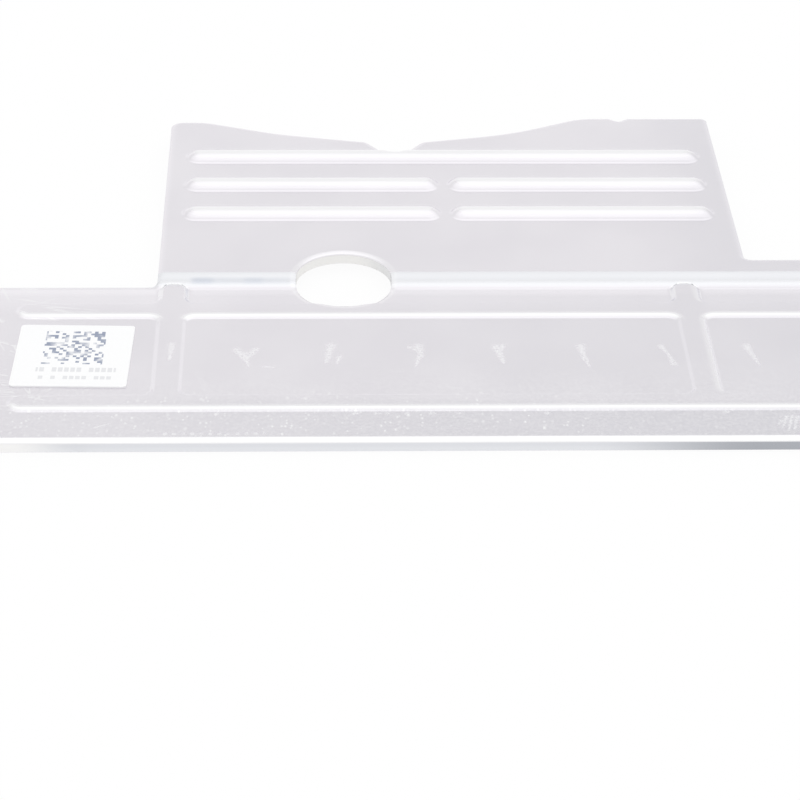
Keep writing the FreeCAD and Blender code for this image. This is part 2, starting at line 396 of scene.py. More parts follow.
def edge_rows(roll_round, turn):
    """Distances inside a rolled edge at which the mesh has rows of points: some in either arc."""
    crease_rows = 5
    wide_rows = 8
    crease = crease_round * (1 - np.sin(np.linspace(math.pi / 2, turn, crease_rows)))
    wide = crease[-1] + roll_round * (math.sin(turn) - np.sin(np.linspace(turn, 0, wide_rows)))
    return np.concatenate([crease, wide[1:], [crease_round]])


# The mesh has rows of points along every arc of the sheet, and a plain grid between them.
arc_rows = 5
step_rows = 9
crown_rows = 8
highlight_rows = 4
line_points = 90
grid_pitch = 1.3 * mm
# Rows of the mesh where the painted highlight on the walls fades, and its reach round the bars.
highlight_fades = 0.35 * mm
highlight_ends = 0.8 * mm
bar_highlight_reach = 1.35 * mm
first_crown_row = 0.06
hollow_rows = np.array([0.9, 0.97, 0.992, 1.03])

bead_arc = np.sin(np.linspace(0, bead_slope, arc_rows)) * bead_round
bead_rows = np.concatenate([bead_arc - bead_tangent, bead_wall_run + bead_tangent - bead_arc,
                            np.linspace(highlight_fades, highlight_ends, highlight_rows)[1:]])
outline = rounded_loop(outline_corners())
loops = [outline]
loops += [rounded_loop(outline_corners(), inset) for inset in edge_rows(*outline_roll)[1:]]
loops += [hole_loop(away) for away in edge_rows(*hole_roll)]
loops += [rounded_loop(ladder_corners(), depth) for depth in bead_rows]
loops += [rounded_loop(pocket_corners(), -depth) for depth in bead_rows]
crown_turns = np.linspace(first_crown_row, 1, crown_rows) * math.asin(bar_crown_reach / bar_round)
bar_reaches = np.concatenate([
    bar_round * np.sin(crown_turns),
    np.linspace(bar_crown_reach, bar_foot_reach, arc_rows)[1:],
    bar_hollow_round * hollow_rows,
    [bar_highlight_reach],
])
for start, end, row in bar_axes():
    for reach in bar_reaches:
        loops.append(rounded_loop([
            (start - reach, row - reach, reach), (end + reach, row - reach, reach),
            (end + reach, row + reach, reach), (start - reach, row + reach, reach),
        ]))
step_arc = np.sin(np.linspace(0, step_turn, step_rows))
step_reaches = np.concatenate([step_start + step_foot_round * step_arc,
                               step_end - (step_crest_round + sheet) * step_arc[:-1]])
across = np.linspace(-half_length, half_length, line_points)
lines = [np.stack([across, np.full_like(across, reach)], axis=1) for reach in step_reaches]
grid = np.meshgrid(np.arange(-half_length, half_length, grid_pitch), np.arange(0, tab_reach, grid_pitch))
plan, triangles = plan_mesh(loops, lines, np.stack([grid[0].ravel(), grid[1].ravel()], axis=1))

edge_gap, edge_way = distance_inside(plan, outline)
hole_gap = np.linalg.norm(plan - hole_centre, axis=1)
hole_way = (plan - hole_centre) / hole_gap[:, None]
hole_gap = hole_gap - hole_radius
ladder_gap, ladder_way = distance_inside(plan, rounded_loop(ladder_corners()))
pocket_gap, pocket_way = distance_inside(plan, rounded_loop(pocket_corners()))
by_pocket = -pocket_gap < ladder_gap
depth = np.where(by_pocket, -pocket_gap, ladder_gap)
depth_way = np.where(by_pocket[:, None], -pocket_way, ladder_way)
reach = plan[:, 1]
along_y = np.array([[0.0, 1.0]])

bead_z, bead_lean = bead_side(depth)
step_z, step_lean = step_side(reach, step_foot_round, step_crest_round + sheet, sheet)
stepped = step_z > sheet + bead_z
top_z = np.where(stepped, step_z, sheet + bead_z)
top_lean = np.where(stepped[:, None], step_lean[:, None] * along_y, bead_lean[:, None] * depth_way)

hollow_depth = np.minimum(depth, step_start - reach)
hollow_way = np.where((depth < step_start - reach)[:, None], depth_way, -along_y)
hollow_z, hollow_lean = bead_side(hollow_depth)
under_z, under_lean = step_side(reach, step_foot_round + sheet, step_crest_round, 0.0)
low_z = hollow_z + under_z
low_lean = hollow_lean[:, None] * hollow_way + under_lean[:, None] * along_y

# Painted highlight: the plating is painted bright along the front walls of the rails, on the walls of the
# right half that face right, where the ribs run into the step, on the bars, and round the front edge and
# the hole.
rail_share = 0.85
rib_share = 0.4
groove_share = 0.8
bar_share = 0.75
hole_share = 0.3
front_highlight = (1.6 * mm, 1.2 * mm)
wall_starts = 0.2 * mm
sideways = (0.5, 0.9)
forward_facing = (0.0, 0.75)
leaning = (0.0, 0.15)
groove_width = (0.12 * mm, 0.02 * mm)
groove_depth = (0.0, 0.03 * mm)
bar_highlight_inset = 0.4 * mm
bar_highlight_shift = 0.25 * mm
bar_highlight_full = 0.4 * mm
rolling = (0.0, 0.2)

on_wall = soft_step(depth, 0.0, wall_starts) * soft_step(depth, highlight_ends, highlight_fades)
right_wall = on_wall * soft_step(-depth_way[:, 0], *sideways) * (plan[:, 0] > 0)
rail_wall = on_wall * soft_step(depth_way[:, 1], *forward_facing)
behind_rail = soft_step(reach - rear_rail, bead_half_width, 2 * bead_half_width)
rib_foot = soft_step(bead_lean, *leaning) * behind_rail
painted_highlight = np.maximum(rail_share * rail_wall, rib_share * np.maximum(rib_foot, right_wall)) * ~stepped
# The groove where the step meets the beads is covered with the painted highlight.
step_rise = step_z - sheet
groove = soft_step(np.abs(step_rise - bead_z), *groove_width)
groove *= soft_step(np.minimum(step_rise, bead_z), *groove_depth)
painted_highlight = np.maximum(painted_highlight, groove_share * groove)

# The bars raise the sheet, the rolled edges lower it, and both get the painted highlight in their turn.
for start, end, row in bar_axes():
    gap = off_axis(plan, (start + bar_highlight_inset, end - bar_highlight_inset, row + bar_highlight_shift))[0]
    painted_highlight = np.maximum(painted_highlight, bar_share * soft_step(gap, bar_highlight_reach, bar_highlight_full))
    gap, way = off_axis(plan, (start, end, row))
    rise, lean = bar_side(gap)
    top_z += rise
    top_lean += lean[:, None] * way
    rise, lean = bar_hollow(gap)
    low_z += rise
    low_lean += lean[:, None] * way
front_share = soft_step(reach, *front_highlight)
for gap, way, roll, share in ((edge_gap, edge_way, outline_roll, front_share),
                              (hole_gap, hole_way, hole_roll, hole_share)):
    drop, lean = edge_roll(gap, *roll)
    painted_highlight = np.maximum(painted_highlight, share * soft_step(-lean, *rolling))
    top_z -= drop
    top_lean -= lean[:, None] * way
    drop, lean = edge_roll(gap, roll[0], 0.0)
    low_z += drop
    low_lean += lean[:, None] * way

# The cut face is carried round the outline and the hole: smooth below the rolled edge, and a little
# set back where the sheet broke away. Its levels are shares of the way down, with an inset for each.
cut_levels = np.array([0.15, 0.4, 0.55, 0.62, 0.8])
cut_insets = np.array([0.0, 0.0, 0.0, 0.022, 0.03]) * mm
hole_rim_tilt = 0.7
sides = np.concatenate([triangles[:, [0, 1]], triangles[:, [1, 2]], triangles[:, [2, 0]]])
codes = sides[:, 0] * len(plan) + sides[:, 1]
rim = sides[~np.isin(codes, sides[:, 1] * len(plan) + sides[:, 0])]
rim_ids, rim_pairs = np.unique(rim, return_inverse=True)
rim_pairs = rim_pairs.reshape(-1, 2)
runs = plan[rim[:, 1]] - plan[rim[:, 0]]
outward = np.stack([runs[:, 1], -runs[:, 0]], axis=1)
rim_out = np.zeros((len(rim_ids), 2))
np.add.at(rim_out, rim_pairs[:, 0], outward)
np.add.at(rim_out, rim_pairs[:, 1], outward)
rim_out /= np.linalg.norm(rim_out, axis=1)[:, None]
cut_plan = plan[rim_ids][None] - cut_insets[:, None, None] * rim_out[None]
cut_z = top_z[rim_ids][None] + cut_levels[:, None] * (low_z[rim_ids] - top_z[rim_ids])[None]

count = len(plan)
upper = np.column_stack([plan, top_z])
lower = np.column_stack([plan, low_z])
cut = np.concatenate([cut_plan, cut_z[:, :, None]], axis=2).reshape(-1, 3)
plate_points = np.concatenate([upper, lower, cut])
plate_points[:, 1] += front_edge
ring = np.arange(len(rim_ids))
rings = [rim_ids] + [2 * count + ring + level * len(ring) for level in range(len(cut_levels))]
rings.append(count + rim_ids)
cut_faces = [np.stack([above[rim_pairs[:, 0]], below[rim_pairs[:, 0]],
                       below[rim_pairs[:, 1]], above[rim_pairs[:, 1]]], axis=1)
             for above, below in zip(rings[:-1], rings[1:])]
upper_normals = np.column_stack([-top_lean, np.ones(count)])
lower_normals = np.column_stack([low_lean, -np.ones(count)])
flat_out = np.column_stack([rim_out, np.zeros(len(rim_ids))])
upper_normals[rim_ids] = flat_out
upper_normals[rim_ids, 2] = np.where(hole_gap[rim_ids] < edge_gap[rim_ids], hole_rim_tilt, 0.0)
lower_normals[rim_ids] = flat_out
plate_normals = np.concatenate([upper_normals, lower_normals, np.tile(flat_out, (len(cut_levels), 1))])
plate_normals /= np.linalg.norm(plate_normals, axis=1)[:, None]


def mesh_piece(name, points, faces, normals):
    """A smooth mesh object at the origin, with a normal given for each point."""
    mesh = bpy.data.meshes.new(name)
    mesh.from_pydata(points.tolist(), [], faces)
    mesh.shade_smooth()
    mesh.normals_split_custom_set_from_vertices(normals.tolist())
    piece = bpy.data.objects.new(name, mesh)
    bpy.context.scene.collection.objects.link(piece)
    return piece


plate_faces = triangles.tolist() + (triangles[:, ::-1] + count).tolist()
plate_faces += np.concatenate(cut_faces).tolist()
plate = mesh_piece("pressed_plate", plate_points, plate_faces, plate_normals)
cut_share = np.concatenate([np.zeros(2 * count), np.repeat(cut_levels, len(ring))])
cut_share[count + rim_ids] = 1.0
plate.data.attributes.new("cut_face", "FLOAT", "POINT").data.foreach_set("value", cut_share)
# The painted highlight goes to the material as a point attribute.
painted_highlight_share = np.concatenate([painted_highlight, np.zeros(len(plate_points) - count)])
plate.data.attributes.new("painted_highlight", "FLOAT", "POINT").data.foreach_set("value", painted_highlight_share)


def add_node(tree, kind, inputs=(), **settings):
    """A new shader node with its settings made and its inputs set or linked, by name or by number."""
    made = tree.nodes.new("ShaderNode" + kind)
    for name, value in settings.items():
        setattr(made, name, value)
    for name, value in dict(inputs).items():
        if isinstance(value, bpy.types.NodeSocket):
            tree.links.new(value, made.inputs[name])
        else:
            made.inputs[name].default_value = value
    return made


def math_node(tree, operation, *values, clamp=False):
    """One operation on numbers."""
    return add_node(tree, "Math", enumerate(values), operation=operation, use_clamp=clamp).outputs[0]


def times_node(tree, first, *others):
    """The product of several masks or numbers."""
    for other in others:
        first = math_node(tree, "MULTIPLY", first, other)
    return first


def most_node(tree, first, *others):
    """The largest of several masks."""
    for other in others:
        first = math_node(tree, "MAXIMUM", first, other)
    return first


def off_node(tree, value, middle):
    """The distance of a value from a middle, on either side."""
    return math_node(tree, "ABSOLUTE", math_node(tree, "SUBTRACT", value, middle))


def vector_node(tree, operation, *values):
    """One operation on vectors."""
    made = add_node(tree, "VectorMath", enumerate(values), operation=operation)
    return made.outputs["Value" if operation in ("DOT_PRODUCT", "LENGTH") else "Vector"]


def scale_node(tree, vector, scale):
    """A vector times a number."""
    return add_node(tree, "VectorMath", {0: vector, "Scale": scale}, operation="SCALE").outputs["Vector"]


def turn_node(tree, vector, angle):
    """A vector turned about the upright axis."""
    made = add_node(tree, "VectorRotate", {"Vector": vector, "Angle": angle}, rotation_type="Z_AXIS")
    return made.outputs["Vector"]


def blend_node(tree, factor, first, second):
    """The first colour where the factor is nothing, and the second where it is one."""
    made = add_node(tree, "Mix", {"Factor": factor, "A": first, "B": second}, data_type="RGBA")
    return made.outputs["Result"]


def range_node(tree, value, low, high, new_low=0.0, new_high=1.0):
    """A smooth change from a new low to a new high as a value goes from low to high."""
    made = add_node(tree, "MapRange", {"Value": value, "From Min": low, "From Max": high,
                                       "To Min": new_low, "To Max": new_high},
                    interpolation_type="SMOOTHSTEP")
    return made.outputs["Result"]


def noise_node(tree, place, scale, detail=2.0, output="Fac"):
    """Soft noise of a scale and detail, as a number or as a colour."""
    return add_node(tree, "TexNoise", {"Vector": place, "Scale": scale, "Detail": detail}).outputs[output]


def new_group(name, **numbers):
    """An empty node group that takes a place and some numbers or vectors and gives a mask."""
    group = bpy.data.node_groups.new(name, "ShaderNodeTree")
    group.interface.new_socket("Place", in_out="INPUT", socket_type="NodeSocketVector")
    for label, kind in numbers.items():
        group.interface.new_socket(label, in_out="INPUT", socket_type="NodeSocket" + kind)
    group.interface.new_socket("Mask", in_out="OUTPUT", socket_type="NodeSocketFloat")
    return group, group.nodes.new("NodeGroupInput").outputs, group.nodes.new("NodeGroupOutput").inputs


def group_node(tree, group, place, **inputs):
    """A node group placed in a material with its own values, as its mask."""
    return add_node(tree, "Group", {"Place": place, **inputs}, node_tree=group).outputs["Mask"]


# A stroke is one mark from start to end that narrows on its way.
stroke_narrows = 0.6
stroke_edge = 1.1
stroke, given, result = new_group("stroke", Start="Vector", End="Vector", Width="Float")
along = vector_node(stroke, "SUBTRACT", given["End"], given["Start"])
from_start = vector_node(stroke, "SUBTRACT", given["Place"], given["Start"])
share = math_node(stroke, "DIVIDE", vector_node(stroke, "DOT_PRODUCT", from_start, along),
                  vector_node(stroke, "DOT_PRODUCT", along, along), clamp=True)
beside = vector_node(stroke, "SUBTRACT", from_start, scale_node(stroke, along, share))
narrowing = math_node(stroke, "MULTIPLY_ADD", share, -stroke_narrows, 1.0)
width_here = times_node(stroke, narrowing, given["Width"])
widths_off = math_node(stroke, "DIVIDE", vector_node(stroke, "LENGTH", beside), width_here)
stroke.links.new(range_node(stroke, widths_off, stroke_edge, 0.0), result["Mask"])

# Hairlines are the thin lines along which a stretched noise crosses its middle, kept in patches.
hair_stretch = (0.06, 1.0, 0.0)
hair_edge = 0.016
hair_core = 0.004
patch_scale = 0.35
hairlines, given, result = new_group("hairlines", Turn="Float", Spacing="Float", Share="Float")
turned = turn_node(hairlines, given["Place"], given["Turn"])
stretched = vector_node(hairlines, "MULTIPLY", turned, hair_stretch)
field = noise_node(hairlines, vector_node(hairlines, "DIVIDE", stretched, given["Spacing"]), 1.0, 1.0)
line = range_node(hairlines, off_node(hairlines, field, 0.5), hair_edge, hair_core)
kept = math_node(hairlines, "LESS_THAN", noise_node(hairlines, turned, patch_scale), given["Share"])
hairlines.links.new(times_node(hairlines, line, kept), result["Mask"])

# Specks are small dots, a little longer from front to back, one to a cell, in some of the cells.
speck_stretch = (1.0, 0.65, 0.0)
least_speck = 0.4
speck_core = 0.1
specks, given, result = new_group("specks", Spacing="Float", Size="Float", Share="Float")
flat_place = vector_node(specks, "MULTIPLY", given["Place"], speck_stretch)
spaced = vector_node(specks, "DIVIDE", flat_place, given["Spacing"])
cells = add_node(specks, "TexVoronoi", {"Vector": spaced, "Scale": 1.0}).outputs
draw = add_node(specks, "SeparateXYZ", {0: cells["Color"]}).outputs
size_here = times_node(specks, math_node(specks, "DIVIDE", given["Size"], given["Spacing"]),
                       math_node(specks, "ADD", draw["Y"], least_speck))
dot = range_node(specks, math_node(specks, "DIVIDE", cells["Distance"], size_here), 1.0, speck_core)
kept = math_node(specks, "LESS_THAN", draw["X"], given["Share"])
specks.links.new(times_node(specks, dot, kept), result["Mask"])

# The plating is a soft grey with a faint violet cast, mottled and finely grained. Places in the
# materials are in millimetres.
steel_low_tone = (0.812, 0.789, 0.830, 1)
steel_high_tone = (0.840, 0.818, 0.855, 1)
scuff_tone = (0.93, 0.92, 0.94, 1)
mark_tone = (0.96, 0.96, 0.97, 1)
# Tone of the painted highlight.
painted_highlight_tone = (0.97, 0.97, 0.975, 1)
zinc = bpy.data.materials.new("zinc_plated_steel")
zinc.use_nodes = True
tree = zinc.node_tree
shader = tree.nodes["Principled BSDF"]
place = scale_node(tree, add_node(tree, "TexCoord").outputs["Object"], 1 / mm)
flat_place = vector_node(tree, "MULTIPLY", place, (1.0, 1.0, 0.0))
spot = add_node(tree, "SeparateXYZ", {0: place}).outputs
upper_side = range_node(tree, spot["Z"], 0.5, 0.7)
mottle = range_node(tree, noise_node(tree, place, 0.11, 3.0), 0.3, 0.7)
grain = noise_node(tree, place, 2.6, 3.0)
# Painted highlight, read from the mesh attribute.
painted_highlight_mask = add_node(tree, "Attribute", attribute_name="painted_highlight").outputs["Fac"]

# Smeared contact marks of a row of spring fingers, and clean nicks: start, end and width in mm.
contact_marks = [
    ((-19.8, -12.4), (-19.9, -14.6), 0.34), ((-14.9, -12.8), (-14.2, -14.5), 0.40),
    ((-13.5, -12.8), (-14.2, -14.2), 0.34), ((-14.3, -13.3), (-14.0, -15.2), 0.30),
    ((-7.8, -12.2), (-8.2, -14.7), 0.42), ((-7.2, -13.9), (-7.4, -14.9), 0.26),
    ((-1.2, -12.4), (-1.0, -13.9), 0.48), ((-1.2, -13.9), (-1.5, -15.2), 0.26),
    ((-1.9, -12.5), (-1.4, -12.9), 0.24), ((4.7, -12.5), (5.1, -14.8), 0.44),
    ((5.2, -12.3), (5.0, -13.2), 0.26), ((11.1, -12.4), (11.2, -14.3), 0.42),
    ((11.3, -14.1), (11.5, -15.4), 0.24), ((17.2, -12.4), (17.6, -13.6), 0.30),
    ((17.9, -15.1), (17.6, -13.5), 0.32), ((23.7, -12.4), (24.0, -13.9), 0.40),
    ((24.0, -13.8), (24.3, -15.2), 0.26), ((24.8, -23.1), (24.5, -23.7), 0.20),
    ((25.3, -22.5), (24.8, -24.0), 0.22), ((25.7, -22.5), (25.2, -24.3), 0.22),
    ((26.1, -22.5), (25.6, -24.3), 0.22), ((26.5, -22.7), (26.1, -24.1), 0.20),
]
nicks = [
    ((-12.9, -15.3), (-12.1, -15.4), 0.14), ((-24.9, -23.7), (-23.9, -23.2), 0.12),
    ((-16.2, -21.9), (-15.9, -21.9), 0.22), ((-6.2, -21.92), (-5.9, -21.88), 0.28),
    ((-4.6, -21.9), (-4.3, -21.9), 0.28), ((-3.8, -21.9), (-3.7, -21.9), 0.26),
    ((-2.3, -21.92), (-2.15, -21.92), 0.28), ((-0.6, -21.92), (-0.3, -21.92), 0.28),
    ((1.45, -21.92), (1.55, -21.92), 0.22), ((7.85, -21.94), (8.1, -21.94), 0.26),
    ((21.0, -21.82), (21.2, -21.82), 0.26),
]
mark_spread = 1.25
smear_reach = (0.20, 0.35, 0.0)
noise_middle = (0.5, 0.5, 0.5)
wobble = vector_node(tree, "SUBTRACT", noise_node(tree, place, 3.2, 2.0, "Color"), noise_middle)
smeared = vector_node(tree, "ADD", flat_place, vector_node(tree, "MULTIPLY", wobble, smear_reach))
strokes = [(smeared, *mark) for mark in contact_marks] + [(flat_place, *nick) for nick in nicks]
marks = most_node(tree, *[
    group_node(tree, stroke, stroke_place, Start=(*start, 0), End=(*end, 0), Width=width * mark_spread)
    for stroke_place, start, end, width in strokes
])
patchy = range_node(tree, noise_node(tree, place, 5.0, 2.0), 0.30, 0.68, 0.10, 0.75)
marks = times_node(tree, marks, patchy)

# A row of dots along the front edge, left by a feed wheel and pressed unevenly.
row_x = -16.3
row_y = -24.6
row_half = 4.2
row_fade = 0.6
dot_pitch = 0.65
in_pitch = math_node(tree, "FRACT", math_node(tree, "DIVIDE", spot["X"], dot_pitch))
dots = range_node(tree, off_node(tree, in_pitch, 0.5), 0.34, 0.10)
beside_row = range_node(tree, off_node(tree, spot["Y"], row_y), 0.24, 0.04)
along_row = range_node(tree, off_node(tree, spot["X"], row_x), row_half, row_half - row_fade)
pressed = range_node(tree, noise_node(tree, place, 1.1, 1.0), 0.35, 0.62, 0.15, 0.6)
marks = most_node(tree, marks, times_node(tree, dots, beside_row, along_row, pressed))
marks = times_node(tree, marks, upper_side)

# Fine scratches, thicker on the front of the strip and at its left end, and specks on the front band:
# turn, spacing and share of the scratches, and spacing, size and share of the specks.
scratch_sets = ((0.15, 0.9, 0.42), (-0.6, 1.1, 0.40), (1.25, 1.3, 0.38), (0.5, 0.7, 0.36))
speck_sets = ((0.34, 0.13, 0.45), (0.62, 0.18, 0.45))
to_front = range_node(tree, spot["Y"], -12.0, -21.0)
to_left = range_node(tree, spot["X"], -22.0, -31.0)
scratches = most_node(tree, *[
    group_node(tree, hairlines, place, Turn=turn, Spacing=spacing, Share=share)
    for turn, spacing, share in scratch_sets
])
scratch_share = most_node(tree, math_node(tree, "MULTIPLY_ADD", to_front, 0.08, 0.03),
                          times_node(tree, to_left, 0.60))
dust = most_node(tree, *[
    group_node(tree, specks, place, Spacing=spacing, Size=size, Share=share)
    for spacing, size, share in speck_sets
])
clusters = range_node(tree, noise_node(tree, place, 0.22, 1.0), 0.38, 0.60, 0.45, 1.0)
clusters = times_node(tree, clusters, range_node(tree, spot["X"], 8.0, 16.0, 1.0, 0.28))
on_band = range_node(tree, spot["Y"], -17.0, -22.0)
dust_share = math_node(tree, "MULTIPLY_ADD", on_band, clusters, 0.04)
fine = most_node(tree, times_node(tree, scratches, scratch_share), times_node(tree, dust, dust_share))

# The cut face is bare steel, a little blue, burnished above and torn below. On the front a painted
# reflection makes the left end pale and painted shade darkens the right end, and in the hole it is
# warmer, with painted shade that darkens it to the right.
burnished_tone = (0.765, 0.775, 0.81, 1)
broken_tone = (0.83, 0.84, 0.87, 1)
torn_tone = (0.79, 0.80, 0.83, 1)
painted_reflection_end_tone = (0.94, 0.935, 0.93, 1)
painted_shade_end_tone = (0.44, 0.455, 0.49, 1)
hole_tone = (0.87, 0.862, 0.848, 1)
hole_painted_shade_tone = (0.76, 0.76, 0.765, 1)
streak_stretch = (5.0, 5.0, 0.4)
hole_x = hole_centre[0] / mm
hole_y = (hole_centre[1] + front_edge) / mm
hole_size = hole_radius / mm
cut = add_node(tree, "Attribute", attribute_name="cut_face").outputs["Fac"]
on_cut = range_node(tree, cut, 0.02, 0.14)
streaks = noise_node(tree, vector_node(tree, "MULTIPLY", place, streak_stretch), 1.0, 2.0)
torn = times_node(tree, streaks, range_node(tree, cut, 0.52, 0.64))
front_face = range_node(tree, spot["Y"], -25.0, -25.3)
painted_reflection_end = times_node(tree, range_node(tree, spot["X"], -26.0, -31.0), front_face)
painted_shade_end = times_node(tree, range_node(tree, spot["X"], 10.0, 23.0), front_face)
from_hole = vector_node(tree, "LENGTH", vector_node(tree, "SUBTRACT", flat_place, (hole_x, hole_y, 0.0)))
in_hole = range_node(tree, from_hole, hole_size + 0.3, hole_size + 0.1)
hole_painted_shade = range_node(tree, math_node(tree, "SUBTRACT", spot["X"], hole_x), 0.8, hole_size)
cut_colour = blend_node(tree, range_node(tree, cut, 0.3, 1.0), burnished_tone, broken_tone)
cut_colour = blend_node(tree, torn, cut_colour, torn_tone)
cut_colour = blend_node(tree, painted_reflection_end, cut_colour, painted_reflection_end_tone)
cut_colour = blend_node(tree, in_hole, cut_colour, blend_node(tree, hole_painted_shade, hole_tone, hole_painted_shade_tone))
cut_colour = blend_node(tree, painted_shade_end, cut_colour, painted_shade_end_tone)

# On the step: its crest is duller than the sheet and the step takes a slightly paler, bluer tone; painted
# shade lies as a grey line below the crest, and on the left as a bluish streak with two darker patches,
# each with its x and share.
step_tone = (0.835, 0.842, 0.866, 1)
painted_shade_line_tone = (0.742, 0.749, 0.77, 1)
painted_streak_tone = (0.60, 0.635, 0.71, 1)
streak_y = -0.85
painted_shade_line_y = -0.93
streak_patches = ((-17.8, 0.66), (-13.8, 0.54))
step_y = math_node(tree, "SUBTRACT", spot["Y"], (front_edge + step_end) / mm)
crest_dull = times_node(tree, range_node(tree, step_y, -0.95, -0.75), range_node(tree, step_y, 0.1, -0.2))
on_step = times_node(tree, range_node(tree, step_y, -1.5, -1.1), range_node(tree, step_y, 0.05, -0.15))
painted_shade_line = range_node(tree, off_node(tree, step_y, painted_shade_line_y), 0.19, 0.02, 0.0, 0.7)
streak_ends = times_node(tree, range_node(tree, spot["X"], -19.0, -18.5),
                         range_node(tree, spot["X"], -9.0, -12.5))
streak_share = times_node(tree, streak_ends, 0.30)
for patch_x, patch_share in streak_patches:
    patch = range_node(tree, off_node(tree, spot["X"], patch_x), 1.7, 0.3, 0.0, patch_share)
    streak_share = most_node(tree, streak_share, times_node(tree, patch, streak_ends))
painted_streak = times_node(tree, range_node(tree, off_node(tree, step_y, streak_y), 0.38, 0.05), streak_share)

# Painted light: the back of the strip is painted paler than the rest, most of all along the step's foot.
painted_light_tone = (0.97, 0.948, 0.985, 1)
painted_highlight_foot = range_node(tree, step_y, -2.8, -1.9, 0.0, 0.42)
painted_light_back = times_node(tree, range_node(tree, step_y, -6.0, -3.0),
                       range_node(tree, spot["X"], -12.0, -24.0, 0.20, 0.38))
before_step = range_node(tree, step_y, -1.46, -1.68)
from_ribs = off_node(tree, math_node(tree, "ABSOLUTE", spot["X"]), rib_x / mm)
beside_ribs = range_node(tree, from_ribs, 1.0, 1.6)
painted_light_strip = math_node(tree, "ADD", painted_highlight_foot, painted_light_back)
painted_light_strip = times_node(tree, painted_light_strip, before_step, upper_side, beside_ribs)

# Painted shade: the front band is painted greyer, more so towards the right, and so are the strip's pocket
# there and the right end of the plate. The front and the left end are scuffed.
painted_shade_tone = (0.725, 0.715, 0.755, 1)
to_right = range_node(tree, spot["X"], -30.0, 24.0, 0.34, 1.0)
front_band = times_node(tree, range_node(tree, spot["Y"], -19.5, -21.8), to_right)
right_end = times_node(tree, range_node(tree, spot["X"], 16.0, 26.0), 0.45)
right_pocket = times_node(tree, range_node(tree, spot["X"], -16.0, 20.0, 0.0, 0.34),
                          range_node(tree, step_y, -2.2, -3.0))
painted_shade_grey = times_node(tree, most_node(tree, front_band, right_end, right_pocket), upper_side)
scuff_share = most_node(tree, times_node(tree, to_front, 0.26), times_node(tree, to_left, 0.14))
scuffs = times_node(tree, range_node(tree, noise_node(tree, place, 4.5, 4.0), 0.35, 0.70), scuff_share)

# Each layer lies over the one before it.
steel = blend_node(tree, mottle, steel_low_tone, steel_high_tone)
layers = [
    (times_node(tree, grain, 0.12), scuff_tone), (painted_shade_grey, painted_shade_tone), (scuffs, scuff_tone),
    (painted_light_strip, painted_light_tone), (fine, mark_tone), (on_step, step_tone), (painted_shade_line, painted_shade_line_tone),
    (painted_streak, painted_streak_tone), (painted_highlight_mask, painted_highlight_tone), (on_cut, cut_colour), (marks, mark_tone),
]
for mask, tone in layers:
    steel = blend_node(tree, mask, steel, tone)
rough = range_node(tree, mottle, 0.0, 1.0, 0.20, 0.24)
for mask, rougher in ((marks, 0.28), (on_cut, 0.12), (crest_dull, 0.3), (painted_highlight_mask, 0.12)):
    rough = math_node(tree, "MULTIPLY_ADD", mask, rougher, rough)
waves = noise_node(tree, place, 0.16, 1.0)
height = math_node(tree, "MULTIPLY_ADD", grain, 0.12, waves)
relief = add_node(tree, "Bump", {"Strength": 1.0, "Distance": 0.012 * mm, "Height": height})
tree.links.new(steel, shader.inputs["Base Color"])
tree.links.new(rough, shader.inputs["Roughness"])
tree.links.new(relief.outputs["Normal"], shader.inputs["Normal"])
shader.inputs["Metallic"].default_value = 1.0
plate.data.materials.append(zinc)
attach(plate, "root")
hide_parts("plate")

# Label
# A square of matt white paper, with a block of small random squares and two rows of plain dashes in
# thin blue and grey ink, which stand for its print.
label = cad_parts["label"]
label_low, label_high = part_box("label")
label_centre = (label_low + label_high) / 2
label_turn = math.radians(-1.5)
paper_low_tone = (0.955, 0.958, 0.965, 1)
paper_high_tone = (0.985, 0.987, 0.99, 1)
dash_ink = (0.62, 0.63, 0.66, 1)
block_ink = (0.30, 0.34, 0.45, 1)
fibre_scale = (6.0, 14.0, 6.0)
print_soft = 0.04
square_pitch = 0.27
square_share = 0.42
dash_pitch = 0.46
dash_width = 0.74
dash_gaps = 0.22
dash_left = -2.6
row_span = 20.0
paper = bpy.data.materials.new("label_paper")
paper.use_nodes = True
tree = paper.node_tree
shader = tree.nodes["Principled BSDF"]
from_centre = vector_node(tree, "SUBTRACT", add_node(tree, "TexCoord").outputs["Object"], label_centre)
place = scale_node(tree, turn_node(tree, from_centre, -label_turn), 1 / mm)
spot = add_node(tree, "SeparateXYZ", {0: place}).outputs


def print_area(left, right, low, high):
    """One inside a rectangle on the label, with a slightly soft edge, and nothing outside."""
    half_width = (right - left) / 2
    half_depth = (high - low) / 2
    aside = off_node(tree, spot["X"], (left + right) / 2)
    away = off_node(tree, spot["Y"], (low + high) / 2)
    return times_node(tree, range_node(tree, aside, half_width, half_width - print_soft),
                      range_node(tree, away, half_depth, half_depth - print_soft))


def random_cells(width, depth, seed):
    """A random number from 0 to 1 for each cell of a grid, shifted by the seed."""
    sized = vector_node(tree, "DIVIDE", place, (width, depth, 1.0))
    cell = vector_node(tree, "FLOOR", vector_node(tree, "MULTIPLY", sized, (1.0, 1.0, 0.0)))
    moved = vector_node(tree, "ADD", cell, (0.5, 0.5, seed))
    return add_node(tree, "TexWhiteNoise", {"Vector": moved}, noise_dimensions="3D").outputs["Value"]


